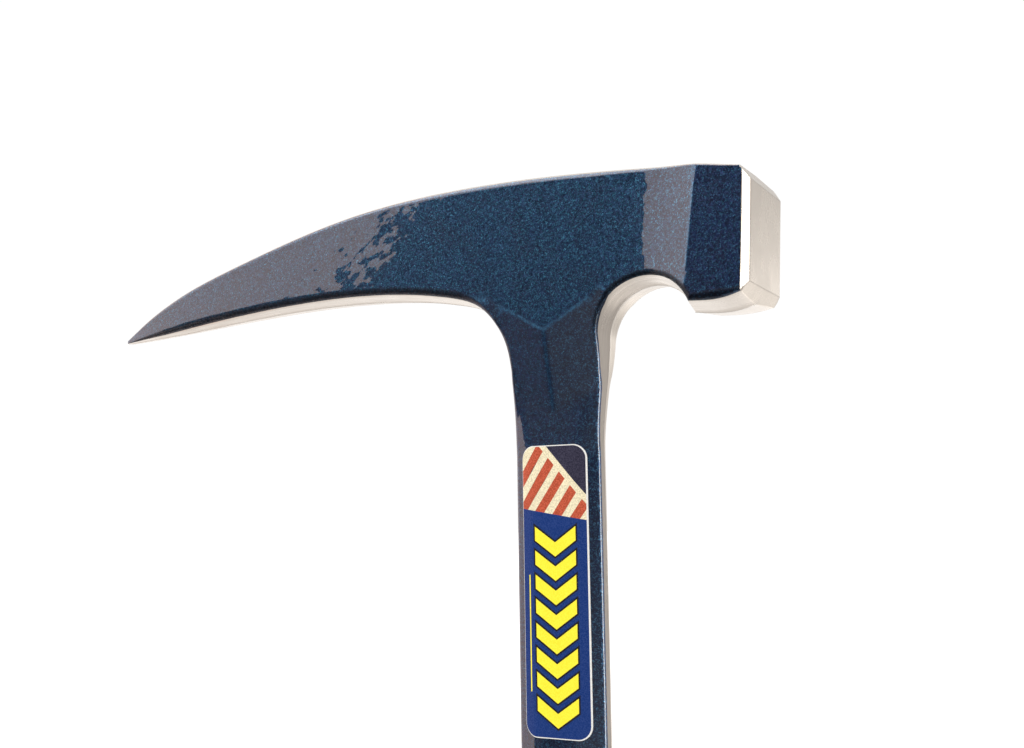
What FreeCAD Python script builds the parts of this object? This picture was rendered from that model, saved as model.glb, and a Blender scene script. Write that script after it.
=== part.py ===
"""One-piece forged rock hammer: long pointed pick, square poll, flat steel shank and a moulded cushion grip.

Frame: origin at the middle of the butt face, +Z up the shank to the head, +X towards the striking face.
The forging is symmetric about the plane Y = 0. All lengths are millimetres.
"""
import FreeCAD
import Part
import math
import os

V = FreeCAD.Vector

# ---- driving dimensions -------------------------------------------------------------------
OVERALL_LENGTH = 330.0        # butt face to the top of the head
HEAD_RISE = 33.7              # top of the head above the throat datum
DATUM = OVERALL_LENGTH - HEAD_RISE   # throat datum, level with the point of the cheek shield
DRAFT = 0.115                 # forging draft of the edge surfaces, falling away from the parting plane
TOP_DRAFT = 0.05              # the ground top of the head is flatter
REACH_Y = 13.0                # half depth to which the edge surfaces are built before trimming
TRIM = 2.0                    # extra length in front of the striking face before trimming

PICK_TIP_X = -130.5           # point of the pick
PICK_TIP_Z = 7.9
SHANK_HALF_WIDTH = 10.35      # at the parting plane
SHANK_HALF_THICK = 3.1        # flat front and back of the shank
SHANK_FLAT_HALF = 4.9         # half width of that flat, before the gentle side bevel
SHANK_EDGE_HALF = 1.6         # half thickness of the narrow bare edge

THROAT_CENTRE = (23.4, -3.7)  # round throat between shank and poll
THROAT_RADIUS = 11.1          # at the parting plane
HEEL = (32.0, 0.75)           # lower corner of the poll at the parting plane
HEEL_FLARE = (1.82, 0.48)     # how far it moves back and up per mm of draft

FACE_X = 47.5                 # middle of the striking face
FACE_Z = 14.25
FACE_TILT = math.radians(2.95)
FACE_HALF = 10.27             # half side of the square flat
BLOCK_HALF_Y = 11.9           # half width and half height of the poll behind the face bevel
BLOCK_HALF_Z = 12.4
BEVEL_DEPTH = 1.5

CHEEK_HALF_THICK = 7.45       # at the point of the shield
CREASE_X = 35.0               # where the flared cheek meets the side of the poll
CREASE_HALF_THICK = 11.3
CREASE_SLANT = 0.131          # run per unit rise of the crease
CREASE_MID_Z = 15.0

FACET_RISE = 0.245            # half thickness gained per mm of height on the neck facets
FACET_FALL_RIGHT = 0.1335     # half thickness lost per mm towards the poll
FACET_FALL_LEFT = 0.1433      # and towards the pick
SHIELD_TIP_Z = -1.05
WING_START = (-12.3, 6.2)     # from here the shield's left edge is a flatter, shallower facet
WING_SLOPE = 0.29
WING_RISE = 0.14
NECK_LEFT = -27.0             # the neck facets end at these two stations
NECK_RIGHT = 16.2

TANG_TOP = 178.0              # the tang runs inside the grip from here down
TANG_END = 14.0
TANG_HALF_WIDTH = 8.5
TANG_HOLE_R = 3.0
TANG_HOLE_Z = (50.0, 95.0, 140.0)

CORE_HALF_WIDTH = 12.4        # hard nylon core moulded on the tang
CORE_HALF_DEPTH = 6.0
CORE_BOTTOM = 8.0
CORE_TOP = 174.0
CORE_ROUND = 4.0
GRIP_SECTIONS = (             # height, half width, half depth of the soft sleeve
    (0.0, 17.4, 12.2), (3.0, 19.4, 14.2), (9.0, 20.0, 14.8), (30.0, 17.4, 13.2),
    (72.0, 18.2, 14.0), (118.0, 16.4, 12.6), (150.0, 15.4, 11.6), (166.0, 16.4, 12.0),
    (174.0, 16.8, 12.2), (181.0, 14.4, 9.4),
)
GRIP_ROUND = 0.82             # corner radius as a part of the half depth

LABEL_WIDTH = 15.7
LABEL_MIDDLE_X = -0.33       # it is stuck on slightly off the middle
LABEL_TOP = DATUM - 25.6
LABEL_BOTTOM = DATUM - 87.3
LABEL_CORNER = 3.0
LABEL_THICK = 0.15


def at(x, z, y=0.0):
    """A point given by its X and its height above the throat datum."""
    return V(x, y, DATUM + z)


def spline(points, start=None, end=None):
    curve = Part.BSplineCurve()
    if start is None:
        curve.interpolate(points)
    else:
        curve.interpolate(points, InitialTangent=start, FinalTangent=end)
    return curve.toShape()


def line(a, b):
    return Part.LineSegment(a, b).toShape()


def level_arc(top, end):
    """Arc that leaves its top point horizontally and runs down to the end point."""
    run, drop = end.x - top.x, top.z - end.z
    radius = (run * run + drop * drop) / (2 * drop)
    half = math.atan2(drop, run)
    middle = V(top.x + radius * math.sin(half), top.y, top.z - radius * (1 - math.cos(half)))
    return Part.Arc(top, middle, end).toShape()


def side_outline(y):
    """Closed outline of the forging seen from the side, at depth y from the parting plane."""
    i = DRAFT * abs(y)
    t = TOP_DRAFT * abs(y)
    half_tang = TANG_HALF_WIDTH - i
    half_shank = SHANK_HALF_WIDTH - i
    radius = THROAT_RADIUS + i
    cx, cz = THROAT_CENTRE
    throat_low = at(cx - radius, cz, y)
    throat_top = at(cx, cz + radius, y)
    heel = at(HEEL[0] + HEEL_FLARE[0] * i, HEEL[1] + HEEL_FLARE[1] * i, y)
    face_low = at(FACE_X + TRIM, 3.0 + 0.2 * i, y)
    face_top = at(FACE_X + TRIM, FACE_Z + BLOCK_HALF_Z + 0.4 - t, y)
    poll_low = at(41.5, 0.35 + 0.7 * i, y)
    crown = [face_top, at(37.0, 29.6 - t, y), at(19.3, 31.95 - t, y), at(-14.0, HEAD_RISE - t, y),
             at(-54.0, 31.35 - t, y), at(-90.0, 23.85 - t, y), at(-120.5, 13.7 - t, y)]
    tip_top = at(PICK_TIP_X + 3.4 * i, PICK_TIP_Z + 0.7, y)
    tip_low = at(PICK_TIP_X + 3.4 * i, PICK_TIP_Z, y)
    belly = [tip_low, at(-108.5, 8.9 + i, y), at(-85.0, 10.5 + i, y), at(-57.0, 11.2 + i, y),
             at(-36.5, 9.9 + i, y), at(-24.5, 7.9 + i, y), at(-16.75 + 0.6 * i, 5.1 + 0.8 * i, y),
             at(-13.1 + 0.85 * i, 1.4 + 0.5 * i, y), at(-10.95 + i, -3.5, y),
             at(-10.25 + i, -9.0, y)]
    shank_low = V(half_shank, y, TANG_TOP)
    shank_high = at(half_shank, -26.0, y)
    edges = [
        line(V(half_tang, y, TANG_END), V(half_tang, y, TANG_TOP - 3.0)),
        line(V(half_tang, y, TANG_TOP - 3.0), shank_low),
        line(shank_low, shank_high),
        spline([shank_high, throat_low], V(0, 0, 1), V(0.02, 0, 1)),
        Part.Arc(throat_low, at(cx - radius * math.sin(0.8), cz + radius * math.cos(0.8), y),
                 throat_top).toShape(),
        level_arc(throat_top, heel),
        spline([heel, poll_low, face_low]),
        line(face_low, face_top),
        spline(crown + [tip_top]),
        line(tip_top, tip_low),
        spline(belly),
        line(belly[-1], at(-half_shank, -30.0, y)),
        line(at(-half_shank, -30.0, y), V(-half_shank, y, TANG_TOP)),
        line(V(-half_shank, y, TANG_TOP), V(-half_tang, y, TANG_TOP - 3.0)),
        line(V(-half_tang, y, TANG_TOP - 3.0), V(-half_tang, y, TANG_END)),
        line(V(-half_tang, y, TANG_END), V(half_tang, y, TANG_END)),
    ]
    return Part.Wire(edges)


def drafted_profile():
    """The outline with its drafted edge surfaces, meeting in a low ridge on the parting plane."""
    wires = [side_outline(y) for y in (-REACH_Y, 0.0, REACH_Y)]
    return Part.makeLoft(wires, True, True)


def plan_prism():
    """Thickness of the head seen from above: slim pick, flat cheek, flared poll."""
    half = [V(PICK_TIP_X - 1.5, 0.3, 0), V(-126.5, 1.45, 0), V(-108.5, 3.75, 0), V(-92.0, 4.95, 0),
            V(-66.0, 6.15, 0), V(-36.0, 7.2, 0), V(0.0, CHEEK_HALF_THICK, 0), V(17.0, 7.52, 0),
            V(27.0, 8.45, 0), V(CREASE_X, CREASE_HALF_THICK, 0)]
    outer = V(60.0, BLOCK_HALF_Y + 0.6, 0)
    mirror = [V(p.x, -p.y, 0) for p in half]
    edges = [spline(half), line(half[-1], outer), line(outer, V(outer.x, -outer.y, 0)),
             line(V(outer.x, -outer.y, 0), mirror[-1]), spline(mirror[::-1]),
             line(mirror[0], half[0])]
    face = Part.Face(Part.Wire(edges))
    low, high = -DATUM, HEAD_RISE + 2.0
    face.translate(V(CREASE_SLANT * (low - CREASE_MID_Z), 0, DATUM + low))
    return face.extrude(V(CREASE_SLANT * (high - low), 0, high - low))


def wedge(at_origin, per_x, per_z):
    """All points within the half thickness at_origin + per_x * x + per_z * z of the parting plane."""
    top = 60.0
    ends = []
    for x in (-140.0, 60.0):
        apex = -(at_origin + per_x * x) / per_z
        half = at_origin + per_x * x + per_z * top
        ends.append(Part.makePolygon([at(x, apex), at(x, top, -half), at(x, top, half), at(x, apex)]))
    return Part.makeLoft(ends, True, True)


def neck_facets():
    """Two sloping facets on each side, which meet in a ridge below the point of the shield."""
    base = CHEEK_HALF_THICK - FACET_RISE * SHIELD_TIP_Z
    roof = wedge(base, -FACET_FALL_RIGHT, FACET_RISE).common(wedge(base, FACET_FALL_LEFT, FACET_RISE))
    x0, z0 = WING_START
    wing_base = CHEEK_HALF_THICK - WING_RISE * (z0 + WING_SLOPE * x0)
    wing = wedge(wing_base, WING_RISE * WING_SLOPE, WING_RISE)
    return roof.fuse(wing.common(box_between(at(-140.0, -10.0, -40.0), at(x0, 60.0, 40.0))))


def shank_bar():
    """Eight-sided bar: flat front and back, gently bevelled down to narrow edges."""
    reach = SHANK_HALF_WIDTH + 3.0
    slope = (SHANK_HALF_THICK - SHANK_EDGE_HALF) / (SHANK_HALF_WIDTH - SHANK_FLAT_HALF)
    edge = max(SHANK_EDGE_HALF, SHANK_HALF_THICK - slope * (reach - SHANK_FLAT_HALF))
    quarter = [(SHANK_FLAT_HALF, SHANK_HALF_THICK), (SHANK_HALF_WIDTH, SHANK_EDGE_HALF), (reach, edge)]
    ring = quarter + [(x, -y) for x, y in quarter[::-1]]
    ring += [(-x, -y) for x, y in quarter] + [(-x, y) for x, y in quarter[::-1]]
    ring.append(ring[0])
    face = Part.Face(Part.makePolygon([V(x, y, 0) for x, y in ring]))
    return face.extrude(V(0, 0, DATUM + 5.0))


def box_between(low, high):
    size = high - low
    return Part.makeBox(size.x, size.y, size.z, low)


def face_bevel():
    """A long block whose end is the striking face with its bevel, to trim the poll."""
    def rectangle(back, half_y, half_z):
        ring = [V(-back, sy * half_y, sz * half_z) for sy, sz in ((1, 1), (-1, 1), (-1, -1), (1, -1))]
        return Part.makePolygon(ring + [ring[0]])
    steps = 4.0
    grow_y = (BLOCK_HALF_Y - FACE_HALF) * steps
    grow_z = (BLOCK_HALF_Z - FACE_HALF) * steps
    far = rectangle(BEVEL_DEPTH * steps, FACE_HALF + grow_y, FACE_HALF + grow_z)
    tip = Part.makeLoft([rectangle(0.0, FACE_HALF, FACE_HALF), far], True, True)
    back = box_between(V(-200.0, -60.0, -400.0), V(-BEVEL_DEPTH * steps, 60.0, 60.0))
    block = tip.fuse(back)
    block.rotate(V(0, 0, 0), V(0, 1, 0), math.degrees(FACE_TILT))
    block.translate(at(FACE_X, FACE_Z))
    return block


def forged_body():
    big = 200.0
    pick_zone = box_between(at(-big, -10.0, -big), at(NECK_LEFT, 60.0, big))
    poll_zone = box_between(at(NECK_RIGHT, -10.0, -big), at(big, 60.0, big))
    limits = shank_bar().fuse([neck_facets(), pick_zone, poll_zone])
    body = drafted_profile().common(plan_prism()).common(limits).common(face_bevel())
    for z in TANG_HOLE_Z:
        body = body.cut(Part.makeCylinder(TANG_HOLE_R, 20.0, V(0, -10.0, z), V(0, 1, 0)))
    return body.removeSplitter()


def rounded_rectangle(z, half_x, half_y, radius):
    """Closed wire of four lines and four arcs at height z."""
    edges = []
    corners = ((1, 1, 0), (-1, 1, 90), (-1, -1, 180), (1, -1, 270))
    ends = []
    for sx, sy, turn in corners:
        centre = V(sx * (half_x - radius), sy * (half_y - radius), z)
        a, b, c = [centre + V(radius * math.cos(math.radians(turn + k)),
                              radius * math.sin(math.radians(turn + k)), 0) for k in (0, 45, 90)]
        ends.append((a, b, c))
    for k in range(4):
        a, b, c = ends[k]
        edges.append(Part.Arc(a, b, c).toShape())
        edges.append(line(c, ends[(k + 1) % 4][0]))
    return Part.Wire(edges)


def core_block():
    wires = [rounded_rectangle(z, CORE_HALF_WIDTH, CORE_HALF_DEPTH, CORE_ROUND) for z in (CORE_BOTTOM, CORE_TOP)]
    return Part.makeLoft(wires, True, True)


def grip_core(forging):
    return core_block().cut(forging)


def grip_sleeve(forging):
    wires = [rounded_rectangle(z, a, b, GRIP_ROUND * b) for z, a, b in GRIP_SECTIONS]
    return Part.makeLoft(wires, True, False).cut(core_block()).cut(forging)


def label():
    low = V(LABEL_MIDDLE_X - LABEL_WIDTH / 2, -SHANK_HALF_THICK - LABEL_THICK, LABEL_BOTTOM)
    plate = Part.makeBox(LABEL_WIDTH, LABEL_THICK, LABEL_TOP - LABEL_BOTTOM, low)
    corners = [e for e in plate.Edges if abs(e.tangentAt(e.FirstParameter).y) > 0.9]
    return plate.makeFillet(LABEL_CORNER, corners)


def main():
    os.makedirs("parts", exist_ok=True)
    forging = forged_body()
    parts = {
        "forged_body": forging,
        "grip_core": grip_core(forging),
        "grip_sleeve": grip_sleeve(forging),
        "label": label(),
    }
    for name, shape in parts.items():
        solids = shape.Solids
        print(name, "solids", len(solids), "valid", shape.isValid(), "volume cm3",
              round(shape.Volume / 1000, 2), "box", shape.BoundBox)
        (solids[0] if len(solids) == 1 else shape).exportStep("parts/" + name + ".step")


main()
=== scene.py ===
"""Looks of the pointed rock hammer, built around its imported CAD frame.

Shapes are worked out in millimetres and become metres when a mesh is made. In the forging, z is the height
above the throat datum, which lies a fixed way below the top of the head.
"""

import math

import bpy
import numpy as np
from mathutils import Matrix, Vector
from mathutils.geometry import delaunay_2d_cdt
from mathutils.kdtree import KDTree


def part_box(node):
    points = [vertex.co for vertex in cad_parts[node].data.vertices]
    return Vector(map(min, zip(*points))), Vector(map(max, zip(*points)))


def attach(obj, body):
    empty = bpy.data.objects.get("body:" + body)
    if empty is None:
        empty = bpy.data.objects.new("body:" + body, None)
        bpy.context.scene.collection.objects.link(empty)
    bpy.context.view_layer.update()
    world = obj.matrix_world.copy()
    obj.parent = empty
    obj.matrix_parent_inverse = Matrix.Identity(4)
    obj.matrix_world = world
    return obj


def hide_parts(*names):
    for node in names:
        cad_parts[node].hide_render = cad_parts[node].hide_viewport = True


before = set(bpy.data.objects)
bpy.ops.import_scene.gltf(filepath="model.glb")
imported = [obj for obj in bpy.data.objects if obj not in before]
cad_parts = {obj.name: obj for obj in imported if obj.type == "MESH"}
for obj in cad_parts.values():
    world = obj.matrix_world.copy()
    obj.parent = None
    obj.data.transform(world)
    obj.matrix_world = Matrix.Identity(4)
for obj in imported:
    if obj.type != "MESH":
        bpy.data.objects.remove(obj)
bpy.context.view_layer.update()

MM = 0.001
(FORGING_LOW, FORGING_HIGH), (CORE_LOW, CORE_HIGH), (SLEEVE_LOW, SLEEVE_HIGH), (LABEL_LOW, LABEL_HIGH) = [
    np.array(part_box(name)) / MM for name in ("forged_body", "grip_core", "grip_sleeve", "label")]

# ---- driving dimensions of the forging ----
HEAD_RISE = 33.7               # from the throat datum to the top of the head
DATUM = FORGING_HIGH[2] - HEAD_RISE
DRAFT = 0.115                  # the edge surfaces fall away from the parting plane
TOP_DRAFT = 0.05
REACH_Y = 10.0                 # depth at which the drafted outline is worked out a second time
FLASH = 0.08                   # low line left by the forging dies on the parting plane

TIP_X, TIP_Z, TIP_HEIGHT = -130.5, 7.9, 0.7
TIP_SLANT = 3.4                # the tip's edge falls back this many times as fast as the other edges
SHANK_HALF_WIDTH = 10.35
SHANK_HALF_THICK = 3.1
SHANK_FLAT_HALF = 4.9
SHANK_BEVEL_SLOPE = 0.275      # thickness lost per mm outside the flat
SHANK_BEVEL_SOFT = 1.6         # the two meet in a rounding that reaches this far either side
RUNOUT_LOW, RUNOUT_SPREAD = -28.0, 0.26     # up the neck the bevel narrows from this height on
RUNOUT_END, RUNOUT_CURL = -16.0, 0.012      # and from this one on ever faster
TANG_HALF_WIDTH = 8.5
TANG_TOP = 178.0 - DATUM
TANG_END = 14.0 - DATUM
TANG_SHOULDER = 3.0            # height over which the shank narrows to the tang
LEFT_ARMPIT_END, RIGHT_NECK_START = -30.0, -26.0

THROAT = (23.4, -3.7)
THROAT_RADIUS = 11.1
HEEL = (32.0, 0.75)            # where the throat's flatter arc meets the poll's underside
HEEL_FLARE = (1.82, 0.48)      # how the heel moves with the draft

FACE_X, FACE_Z = 47.5, 14.25
FACE_TILT = math.radians(2.95)
FACE_HALF = 10.27
SIDE_BEVEL_SLOPE = 1.087       # half width gained per mm behind the face
TOP_BEVEL_SLOPE = 1.42
FACE_OUT = np.array([math.cos(FACE_TILT), -math.sin(FACE_TILT)])
FACE_UP = np.array([math.sin(FACE_TILT), math.cos(FACE_TILT)])

CHEEK_HALF = 7.45
CREASE_X, CREASE_HALF = 35.0, 11.3
CREASE_SLANT, CREASE_MID_Z = 0.131, 15.0
POLL_SIDE_SLOPE = 0.048

FACET_RISE = 0.245
FACET_FALL_RIGHT = 0.1335
FACET_FALL_LEFT = 0.1433
SHIELD_TIP_Z = -1.05
WING_X, WING_Z = -12.3, 6.2
WING_SLOPE, WING_RISE = 0.29, 0.14
WING_FALL = 0.4                # the wing drops away towards the neck at this slope
WING_TAIL_X, WING_TAIL_RISE = -22.0, 0.1    # and rises again along the pick from this station on
HEEL_TURN_X, HEEL_TURN_RISE = 14.0, 0.45    # beyond this station the right facet turns back up

PLAN_SOFT, BODY_SOFT, FACE_SOFT = 0.10, 0.13, 0.10      # reach of the roundings along the sides' own edges
RIDGE_SOFT, WING_SOFT, BAR_SOFT = 0.30, 0.25, 0.45


# ---- curves ----
def spline_slopes(t, p, start=None, end=None):
    """Slopes of the smooth curve p(t) at its points, natural at the ends unless a slope is given."""
    n = len(t)
    step = np.diff(t)
    chord = np.diff(p, axis=0) / step[:, None]
    a, b = np.zeros((n, n)), np.zeros(p.shape)
    for k in range(1, n - 1):
        a[k, k - 1:k + 2] = step[k], 2 * (step[k - 1] + step[k]), step[k - 1]
        b[k] = 3 * (step[k] * chord[k - 1] + step[k - 1] * chord[k])
    for row, beside, slope, run in ((0, 1, start, chord[0]), (-1, -2, end, chord[-1])):
        a[row, row] = 1.0 if slope is not None else 2.0
        a[row, beside] = 0.0 if slope is not None else 1.0
        b[row] = slope if slope is not None else 3 * run
    return np.linalg.solve(a, b)


def spline_at(t, p, slopes, where):
    """The curve's points at the given parameters."""
    k = np.clip(np.searchsorted(t, where, side="right") - 1, 0, len(t) - 2)
    step = (t[k + 1] - t[k])[..., None]
    s = (where - t[k])[..., None] / step
    return ((1 + 2 * s) * (1 - s) ** 2 * p[k] + s * (1 - s) ** 2 * step * slopes[k]
            + s * s * (3 - 2 * s) * p[k + 1] + s * s * (s - 1) * step * slopes[k + 1])


def spaced(count):
    """Parameters from 0 to 1 that lie closer together near both ends."""
    s = np.linspace(0, 1, count)
    return 0.5 * s + 0.25 * (1 - np.cos(math.pi * s))


def lengths(points):
    """Length of a line up to each of its points."""
    return np.concatenate([[0], np.cumsum(np.linalg.norm(np.diff(points, axis=0), axis=1))])


def curve_through(points, count, start=None, end=None):
    """A smooth curve through a few points, sampled count times."""
    p = np.array(points, float)
    t = lengths(p)
    slopes = spline_slopes(t, p, start, end)
    return spline_at(t, p, slopes, spaced(count) * t[-1])


def straight(a, b, count):
    s = spaced(count)[:, None]
    return np.array(a) * (1 - s) + np.array(b) * s


def round_arc(centre, radius, first, last, count):
    """Part of a circle between two directions in degrees."""
    angle = np.radians(np.linspace(first, last, count))
    return np.array(centre) + radius * np.stack([np.cos(angle), np.sin(angle)], axis=1)


def level_arc(top, end, count):
    """Arc that leaves its top point horizontally and runs down to the end point."""
    run, drop = end[0] - top[0], top[1] - end[1]
    radius = (run * run + drop * drop) / (2 * drop)
    sweep = 2 * math.degrees(math.atan2(drop, run))
    return round_arc((top[0], top[1] - radius), radius, 90, 90 - sweep, count)


def soft_min(a, b, k):
    """The smaller of two heights, with their crossing rounded where they differ by less than k."""
    return np.minimum(a, b) - np.maximum(k - np.abs(a - b), 0) ** 2 / (4 * k)


def soft_max(a, b, k):
    return -soft_min(-a, -b, k)


# ---- half thickness of the forging over its side view ----
PLAN_POINTS = np.array([(TIP_X - 1.5, 0.3), (-126.5, 1.45), (-108.5, 3.75), (-92.0, 4.95), (-66.0, 6.15),
                        (-36.0, 7.2), (0.0, CHEEK_HALF), (17.0, 7.52), (27.0, 8.45), (CREASE_X, CREASE_HALF)])
PLAN_X, PLAN_HALF = PLAN_POINTS[:, 0], PLAN_POINTS[:, 1:]
PLAN_SLOPES = spline_slopes(PLAN_X, PLAN_HALF)


def along_plan(x, z):
    """Station along the head, counted square to the slanting crease."""
    return x - CREASE_SLANT * (z - CREASE_MID_Z)


def plan_surfaces(x, z):
    """Half thickness of the pick, cheek and flare, and of the poll's side."""
    u = along_plan(x, z)
    flare = spline_at(PLAN_X, PLAN_HALF, PLAN_SLOPES, np.clip(u, PLAN_X[0], CREASE_X))[..., 0]
    flare = flare + PLAN_SLOPES[-1, 0] * np.maximum(u - CREASE_X, 0)
    return flare, CREASE_HALF + POLL_SIDE_SLOPE * (u - CREASE_X)


def facet_surfaces(x, z):
    """Half thickness of the right and left neck facets, and of the flatter wing on the pick's side."""
    base = CHEEK_HALF - FACET_RISE * SHIELD_TIP_Z
    right = base - FACET_FALL_RIGHT * x + FACET_RISE * z + HEEL_TURN_RISE * np.maximum(0, x - HEEL_TURN_X)
    left = base + FACET_FALL_LEFT * x + FACET_RISE * z
    wing = CHEEK_HALF + WING_RISE * (z - WING_Z + WING_SLOPE * (x - WING_X))
    wing = wing - WING_FALL * np.maximum(0, x - WING_X) + WING_TAIL_RISE * np.maximum(0, WING_TAIL_X - x)
    return right, left, wing


def shank_bevel(x, z):
    """Thickness lost to the gentle bevel either side of the shank."""
    flat_half = (SHANK_FLAT_HALF + RUNOUT_SPREAD * np.maximum(z - RUNOUT_LOW, 0)
                 + RUNOUT_CURL * np.maximum(z - RUNOUT_END, 0) ** 3)
    return SHANK_BEVEL_SLOPE * soft_max(np.abs(x) - flat_half, np.zeros_like(x), SHANK_BEVEL_SOFT)


def behind_face(x, z):
    return -((x - FACE_X) * FACE_OUT[0] + (z - FACE_Z) * FACE_OUT[1])


def bevel_room(x, z):
    """How far the plane of the face's side bevel stands clear of the painted side."""
    return FACE_HALF + SIDE_BEVEL_SLOPE * behind_face(x, z) - np.minimum(*plan_surfaces(x, z))


def half_thickness(x, z):
    """Half thickness of the forging at a point of its side view."""
    flare, side = plan_surfaces(x, z)
    plan = soft_min(flare, side, PLAN_SOFT)
    right, left, wing = facet_surfaces(x, z)
    neck = soft_max(soft_min(right, left, RIDGE_SOFT), wing, WING_SOFT)
    bar = soft_max(neck, np.full_like(neck, SHANK_HALF_THICK), BAR_SOFT) - shank_bevel(x, z)
    body = soft_min(plan, bar, BODY_SOFT)
    return soft_min(body, FACE_HALF + SIDE_BEVEL_SLOPE * behind_face(x, z), FACE_SOFT)


EDGE_FADE, CREASE_FADE = 0.13, 0.12     # difference of two surfaces at which their edge no longer counts
RIDGE_SHARE = 0.35                      # how much of an edge the blunt ridge of the neck is
CHEEK_FADE, FLARE_FADE = 0.3, 0.15


def sharp_surfaces(x, z):
    """The sides without their roundings: flare, poll side, neck, and how far apart the two facets are."""
    right, left, wing = facet_surfaces(x, z)
    return *plan_surfaces(x, z), np.maximum(np.minimum(right, left), wing), np.abs(right - left)


def raised_edge_highlight(x, z):
    """How near a point is to a raised edge of the painted sides: 1 on the edge, 0 away from it; it places the
    painted highlight along these edges.
    """
    flare, side, neck, apart = sharp_surfaces(x, z)
    plan = np.minimum(flare, side)
    v_edge = 1 - np.abs(plan - neck) / EDGE_FADE
    crease = 1 - np.abs(flare - side) / CREASE_FADE
    on_ridge = (neck < plan) & (neck > SHANK_HALF_THICK)
    ridge = np.where(on_ridge, RIDGE_SHARE * (1 - apart / CREASE_FADE), 0)
    return np.clip(np.maximum(np.maximum(v_edge, crease), ridge), 0, 1)


def cheek_lit_share(x, z):
    """1 on the cheeks and the pick, 0 on the neck, the shank and the poll's sides; it picks the lighter copy
    of the paint, painted light, over the darker one, painted shade.
    """
    flare, side, neck, _ = sharp_surfaces(x, z)
    return np.clip((neck - flare) / CHEEK_FADE, 0, 1) * np.clip(1 - (flare - side) / FLARE_FADE, 0, 1)


def side_normals(x, z, side):
    """Outward unit normals of the front (side -1) or back (side 1) surface."""
    d = 0.04
    slope_x = (half_thickness(x + d, z) - half_thickness(x - d, z)) / (2 * d)
    slope_z = (half_thickness(x, z + d) - half_thickness(x, z - d)) / (2 * d)
    n = np.stack([-slope_x, np.full_like(x, side), -slope_z], axis=-1)
    return n / np.linalg.norm(n, axis=-1, keepdims=True)


# ---- outline of the forging ----
def cut_at_bevel(points, count):
    """The part of a curve behind the bevel of the face, sampled afresh from the bevel on."""
    across = np.abs((points - (FACE_X, FACE_Z)) @ FACE_UP)
    room = FACE_HALF + TOP_BEVEL_SLOPE * behind_face(points[:, 0], points[:, 1]) - across
    k = int(np.argmax(room > 0))
    share = room[k - 1] / (room[k - 1] - room[k])
    kept = np.vstack([points[k - 1] * (1 - share) + points[k] * share, points[k:]])
    length = lengths(kept)
    where = spaced(count) * length[-1]
    return np.stack([np.interp(where, length, kept[:, axis]) for axis in (0, 1)], axis=1)


ARMPIT_START = 136             # point of the belly's curve where the rim's rounding turns sharper


def side_outline(y):
    """Stretches of the outline at depth y, from the top of the face round the pick, tang and poll, as
    (name, points); each starts where the one before it ends."""
    i, t = DRAFT * y, TOP_DRAFT * y
    half, half_tang = SHANK_HALF_WIDTH - i, TANG_HALF_WIDTH - i
    radius = THROAT_RADIUS + i
    tip_high = (TIP_X + TIP_SLANT * i, TIP_Z + TIP_HEIGHT)
    tip_low = (TIP_X + TIP_SLANT * i, TIP_Z)
    crown = [(49.5, 27.05 - t), (37.0, 29.6 - t), (19.3, 31.95 - t), (-14.0, HEAD_RISE - t),
             (-54.0, 31.35 - t), (-90.0, 23.85 - t), (-120.5, 13.7 - t), tip_high]
    belly = [tip_low, (-108.5, 8.9 + i), (-85.0, 10.5 + i), (-57.0, 11.2 + i), (-36.5, 9.9 + i),
             (-24.5, 7.9 + i), (-16.75 + 0.6 * i, 5.1 + 0.8 * i), (-13.1 + 0.85 * i, 1.4 + 0.5 * i),
             (-10.95 + i, -3.5), (-10.25 + i, -9.0)]
    throat_low = (THROAT[0] - radius, THROAT[1])
    throat_top = (THROAT[0], THROAT[1] + radius)
    heel = (HEEL[0] + HEEL_FLARE[0] * i, HEEL[1] + HEEL_FLARE[1] * i)
    low = curve_through([heel, (41.5, 0.35 + 0.7 * i), (49.5, 3.0 + 0.2 * i)], 400)
    crown_line = cut_at_bevel(curve_through(crown, 1600), 190)
    belly_line = curve_through(belly, 170)
    poll_low = cut_at_bevel(low[::-1], 36)[::-1]
    face_high = np.array([FACE_X, FACE_Z]) + FACE_HALF * FACE_UP
    face_low = np.array([FACE_X, FACE_Z]) - FACE_HALF * FACE_UP
    shoulder = TANG_TOP - TANG_SHOULDER
    tang = [(-half, TANG_TOP), (-half_tang, shoulder), (-half_tang, TANG_END), (half_tang, TANG_END),
            (half_tang, shoulder), (half, TANG_TOP)]
    return [
        ("crown", crown_line),
        ("tip", straight(tip_high, tip_low, 4)),
        ("belly", belly_line[:ARMPIT_START + 1]),
        ("armpit", belly_line[ARMPIT_START:]),
        ("shank", straight(belly[-1], (-half, LEFT_ARMPIT_END), 14)),
        ("shank", straight((-half, LEFT_ARMPIT_END), (-half, TANG_TOP), 40)),
        *[("tang", straight(a, b, count)) for a, b, count in zip(tang, tang[1:], (4, 30, 10, 30, 4))],
        ("shank", straight((half, TANG_TOP), (half, RIGHT_NECK_START), 44)),
        ("neck", curve_through([(half, RIGHT_NECK_START), throat_low], 34, start=(0, 1), end=(0.02, 1))),
        ("throat", round_arc(THROAT, radius, 180, 90, 40)),
        ("throat", level_arc(throat_top, heel, 30)),
        ("poll", poll_low),
        ("bevel", straight(poll_low[-1], face_low, 12)),
        ("face", straight(face_low, face_high, 40)),
        ("bevel", straight(face_high, crown_line[0], 14)),
    ]
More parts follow.
